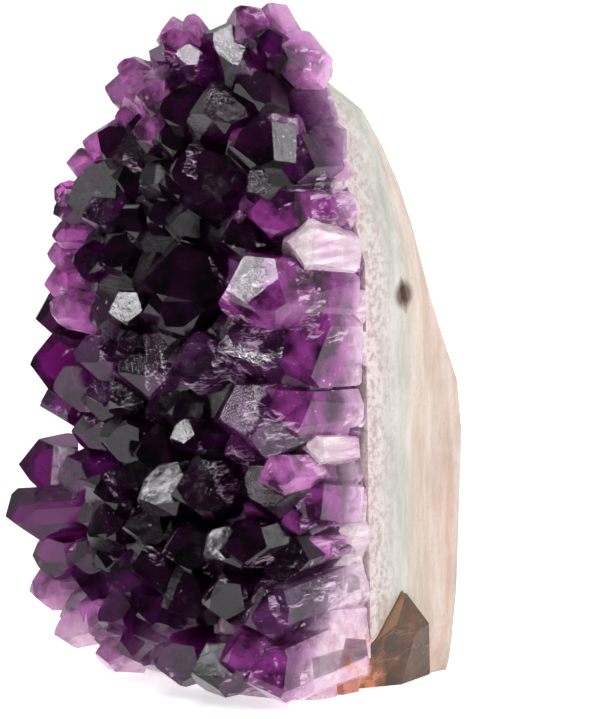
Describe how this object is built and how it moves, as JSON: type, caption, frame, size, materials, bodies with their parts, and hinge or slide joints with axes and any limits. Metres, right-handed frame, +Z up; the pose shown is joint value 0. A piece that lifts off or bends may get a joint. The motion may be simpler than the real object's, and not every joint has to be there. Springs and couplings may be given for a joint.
{
  "type": "amethyst geode fragment",
  "caption": "Fragment of a geode that stands on its cut base: a crust of violet quartz crystals on a banded rock wall.",
  "frame": {"origin": "middle of the bounding box, at the cut base", "axes": "+Z up; crystals point along -Y, away from the rock wall at +Y; the ground side faces +X"},
  "size_m": [0.0712, 0.0612, 0.118],
  "materials": {
    "amethyst": "clear violet crystal faces, pale milky roots",
    "wall_rind": "matte rock with speckled white, grey-green and beige bands",
    "basalt": "matte chipped brown stone"
  },
  "bodies": {
    "root": {"amethyst_crust": "amethyst", "rock_wall": "wall_rind", "basalt_inclusion": "basalt"}
  },
  "joints": []
}
